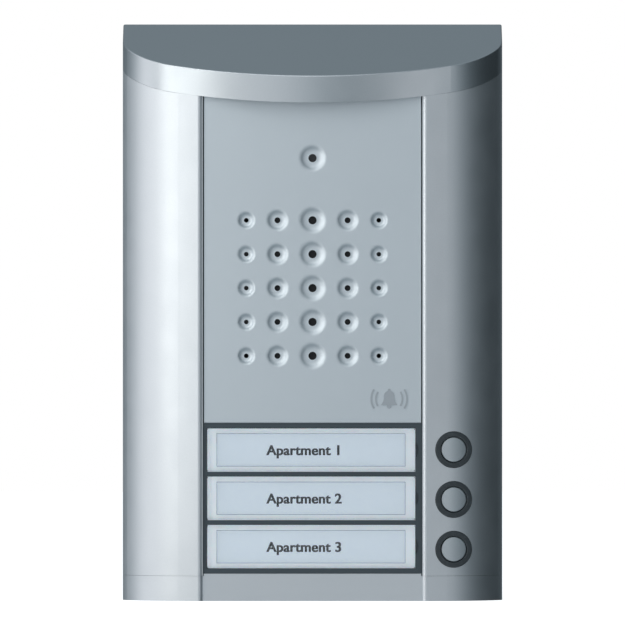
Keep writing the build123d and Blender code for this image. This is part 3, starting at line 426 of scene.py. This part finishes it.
for node, piece in parts.items():
    if slot_of[node] == "button_metal":
        finish = button_finish(node)
    else:
        finish = own_finish.get(node) or finishes[slot_of[node]]
    piece.data.materials.clear()
    piece.data.materials.append(finish.material)


# ---------------------------------------------------------------- added pieces

def mesh_piece(name, build, finish, body):
    """A new mesh that build fills, riding on a body."""
    mesh = bpy.data.meshes.new(name)
    shape = bmesh.new()
    build(shape)
    bmesh.ops.recalc_face_normals(shape, faces=shape.faces)
    shape.to_mesh(mesh)
    shape.free()
    settle(bpy.data.objects.new(name, mesh), finish, body)


def settle(piece, finish, body):
    """Put an added piece in the scene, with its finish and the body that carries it."""
    bpy.context.scene.collection.objects.link(piece)
    piece.data.materials.append(finish.material)
    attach(piece, body)


board_low, board_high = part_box("main_board")
silk_height = 0.03 * MM
silk_width = 0.3 * MM
silk_margin = 0.7 * MM
solder_height = 0.7 * MM
solder_foot = 0.95 * MM       # radius of a solder cone on the board
solder_tip = 0.3 * MM
pin_margin = 1.6 * MM         # how much narrower the rows of pins are than their part


def frame_lines(shape, low, high, y, thickness, width, margin):
    """Four thin bars around a box, margin outside it and centred on y."""
    middle = (low + high) / 2
    half_across = (high.x - low.x) / 2 + margin
    half_up = (high.z - low.z) / 2 + margin
    bars = [(0, side * half_up, 2 * half_across + width, width) for side in (-1, 1)]
    bars += [(side * half_across, 0, width, 2 * half_up - width) for side in (-1, 1)]
    for dx, dz, across, up in bars:
        centre = Matrix.Translation((middle.x + dx, y, middle.z + dz))
        size = Matrix.Diagonal((across, thickness, up, 1.0))
        bmesh.ops.create_cube(shape, size=1.0, matrix=centre @ size)


def silk_outlines(shape):
    """Printed outlines around the larger parts, on the side of the main board that faces the wall."""
    for node in ("terminal_block", "line_transformer", "amplifier_chip", "volume_trimmer"):
        low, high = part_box(node)
        frame_lines(shape, low, high, board_high.y + silk_height / 2, silk_height, silk_width, silk_margin)


def solder_joints(shape):
    """Cones of solder around the pins, on the side of the main board that faces the carrier."""
    pins = []
    for node, columns in (("terminal_block", 10), ("line_transformer", 3), ("volume_trimmer", 3)):
        low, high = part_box(node)
        middle = (low + high) / 2
        pitch = (high.x - low.x - pin_margin) / columns
        for column in range(columns):
            across = middle.x + (column - (columns - 1) / 2) * pitch
            pins += [(across, middle.z + side * (high.z - low.z) / 4) for side in (-1, 1)]
    turn = Matrix.Rotation(math.radians(90), 4, "X")
    for x, z in pins:
        centre = Matrix.Translation((x, board_low.y - solder_height / 2, z))
        bmesh.ops.create_cone(shape, cap_ends=True, segments=20, radius1=solder_foot, radius2=solder_tip,
                              depth=solder_height, matrix=centre @ turn)


mesh_piece("board_outlines", silk_outlines, ink("silk_screen_ink", (0.72, 0.73, 0.70)), "front_housing")
mesh_piece("solder_joints", solder_joints, tinned(), "front_housing")

lettering = ink("lettering_ink", (0.010, 0.016, 0.022))
letter_size = 5.45 * MM
letter_start = -18.0 * MM
letter_middle = 0.36      # half of a capital's height, as a share of the letter size
letter_height = 0.03 * MM
double_strike = 0.22 * MM
strike_lift = 0.004 * MM  # keeps the two strikes from lying in one plane
border_width = 0.22 * MM
border_height = 0.02 * MM


def label_text(number):
    """Bold generic lettering, printed on a name card."""
    low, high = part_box(f"label_card_{number}")
    font = bpy.data.curves.new(f"label_text_{number}", "FONT")
    font.body = f"Apartment {number}"
    font.size = letter_size
    font.space_character = 1.04
    font.offset = 0.018 * letter_size
    font.extrude = letter_height
    words = bpy.data.objects.new(font.name, font)
    baseline = (low.z + high.z) / 2 - letter_middle * letter_size
    words.location = (letter_start, low.y - font.extrude, baseline)
    words.rotation_euler = (math.radians(90), 0, 0)
    bpy.context.scene.collection.objects.link(words)
    bpy.context.view_layer.update()
    outline = bpy.data.meshes.new_from_object(words.evaluated_get(bpy.context.evaluated_depsgraph_get()))
    outline.transform(words.matrix_world)
    bpy.data.objects.remove(words)
    # struck twice, a little apart, which thickens the stems
    shape = bmesh.new()
    shape.from_mesh(outline)
    first = list(shape.verts)
    bmesh.ops.duplicate(shape, geom=shape.verts[:] + shape.edges[:] + shape.faces[:])
    bmesh.ops.translate(shape, verts=first, vec=(double_strike, -strike_lift, 0))
    mesh = bpy.data.meshes.new(f"label_text_{number}")
    shape.to_mesh(mesh)
    shape.free()
    settle(bpy.data.objects.new(mesh.name, mesh), lettering, "front_housing")


def card_border(shape):
    """Thin printed line around the edge of each card."""
    for number in (1, 2, 3):
        low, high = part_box(f"label_card_{number}")
        frame_lines(shape, low, high, low.y - border_height / 2, border_height, border_width,
                    -border_width / 2)


mesh_piece("card_borders", card_border, ink("border_ink", (0.40, 0.46, 0.50)), "front_housing")
for number in (1, 2, 3):
    label_text(number)


# ---------------------------------------------------------------- stage, light and camera

red_loss = 0.22
blue_gain = 0.10
blue_base = 1.03


def studio_tint(level):
    """Grey of a given brightness, cooler where it is darker."""
    cool = max(0.0, 1.0 - level)
    return (level * (1.0 - red_loss * cool), level, level * (blue_base + blue_gain * cool), 1.0)


# brightness of the room by direction: degrees round from the way that the front looks, positive towards +X
room = [(-180, 0.16), (-150, 0.20), (-118, 0.22), (-100, 0.56), (-84, 1.30), (-62, 0.84), (-45, 0.10),
        (-30, 0.18), (-20, 0.82), (-10, 0.86), (0, 0.52), (10, 0.22), (20, 0.34), (28, 1.02), (40, 0.42),
        (58, 0.17), (75, 0.07), (95, 0.045), (120, 0.03), (140, 0.10), (180, 0.16)]
overhead = 0.33
underfoot = 0.30
level_until = 0.45        # the upward share of a direction where the room starts to fade to those two
even_from = 0.85          # and where it has reached them


def build_world():
    world = bpy.data.worlds.new("studio")
    bpy.context.scene.world = world
    world.use_nodes = True
    nodes = world.node_tree.nodes
    links = world.node_tree.links
    background = nodes["Background"]

    def add(kind, **settings):
        node = nodes.new("ShaderNode" + kind)
        for key, value in settings.items():
            setattr(node, key, value)
        return node

    split = add("SeparateXYZ")
    links.new(add("TexCoord").outputs["Generated"], split.inputs[0])
    forward = add("Math", operation="MULTIPLY")
    links.new(split.outputs["Y"], forward.inputs[0])
    forward.inputs[1].default_value = -1.0
    turn = add("Math", operation="ARCTAN2")
    links.new(split.outputs["X"], turn.inputs[0])
    links.new(forward.outputs[0], turn.inputs[1])
    share = add("MapRange")
    links.new(turn.outputs[0], share.inputs["Value"])
    share.inputs["From Min"].default_value = -math.pi
    share.inputs["From Max"].default_value = math.pi
    ramp = add("ValToRGB")
    links.new(share.outputs["Result"], ramp.inputs[0])
    stops = ramp.color_ramp.elements
    while len(stops) > 1:
        stops.remove(stops[-1])
    stops[0].position = 0.0
    stops[0].color = studio_tint(room[0][1])
    for degrees, level in room[1:]:
        stops.new((degrees + 180) / 360).color = studio_tint(level)
    # overhead and underfoot the room is even
    around = ramp.outputs["Color"]
    for level, sign in ((overhead, 1.0), (underfoot, -1.0)):
        fade = add("MapRange")
        links.new(split.outputs["Z"], fade.inputs["Value"])
        fade.inputs["From Min"].default_value = level_until * sign
        fade.inputs["From Max"].default_value = even_from * sign
        blend = add("Mix", data_type="RGBA")
        links.new(fade.outputs["Result"], blend.inputs["Factor"])
        links.new(around, blend.inputs[6])
        blend.inputs[7].default_value = studio_tint(level)
        around = blend.outputs[2]
    # the backdrop itself is white
    seen = add("LightPath")
    backdrop = add("Mix", data_type="RGBA")
    links.new(seen.outputs["Is Camera Ray"], backdrop.inputs["Factor"])
    links.new(around, backdrop.inputs[6])
    backdrop.inputs[7].default_value = (1.0, 1.0, 1.0, 1.0)
    links.new(backdrop.outputs[2], background.inputs["Color"])


def softbox(name, place, target, size, power, colour=(1.0, 1.0, 1.0)):
    """A rectangular lamp that looks from place to target, and that the camera doesn't see."""
    lamp_data = bpy.data.lights.new(name, "AREA")
    lamp_data.shape = "RECTANGLE"
    lamp_data.size, lamp_data.size_y = size
    lamp_data.energy = power
    lamp_data.color = colour
    lamp_object = bpy.data.objects.new(name, lamp_data)
    lamp_object.visible_camera = False
    lamp_object.location = place
    lamp_object.rotation_euler = (Vector(target) - Vector(place)).to_track_quat("-Z", "Y").to_euler()
    bpy.context.scene.collection.objects.link(lamp_object)


def build_stage():
    """A pale floor just under the housing."""
    floor_mesh = bpy.data.meshes.new("floor")
    reach = 3.0
    floor_gap = 0.02 * MM
    height = cad_box[0][2] - floor_gap
    square = ((-reach, -reach), (reach, -reach), (reach, reach), (-reach, reach))
    corners = [(x, y, height) for x, y in square]
    floor_mesh.from_pydata(corners, [], [(0, 1, 2, 3)])
    floor = bpy.data.objects.new("floor", floor_mesh)
    bpy.context.scene.collection.objects.link(floor)
    pale = Finish("pale_floor", Roughness=0.9, Emission_Color=(1.0, 1.0, 1.0, 1.0), Emission_Strength=0.8)
    pale.set("Base Color", pale.mix(pale.noise(0.01), (0.86, 0.86, 0.86), (0.90, 0.90, 0.90)))
    floor_mesh.materials.append(pale.material)
    floor.visible_glossy = False


camera_distance = 5.0         # from the camera to the plane that the view is framed on
framed_depth = 41.0 * MM      # how far that plane is out from the wall
eye_level = -0.32 * MM
framed_width = 244.7 * MM
sensor_width = 36.0


def build_camera():
    camera_data = bpy.data.cameras.new("camera")
    camera_data.sensor_width = sensor_width
    camera_data.lens = sensor_width * camera_distance / framed_width
    camera_data.clip_end = 50.0
    camera = bpy.data.objects.new("camera", camera_data)
    camera.location = (0.0, -camera_distance - framed_depth, eye_level)
    camera.rotation_euler = (math.radians(90), 0.0, 0.0)
    bpy.context.scene.collection.objects.link(camera)
    bpy.context.scene.camera = camera


build_world()
build_stage()
build_camera()
softbox("top", (-0.25, -0.70, 0.85), (0.0, 0.0, 0.0), (0.9, 0.5), 1.2)
softbox("key", (-0.24, -0.26, 0.08), (0.0, -0.04, 0.0), (0.16, 0.45), 0.38, (1.0, 0.99, 0.97))
bpy.context.scene.view_settings.view_transform = "Standard"
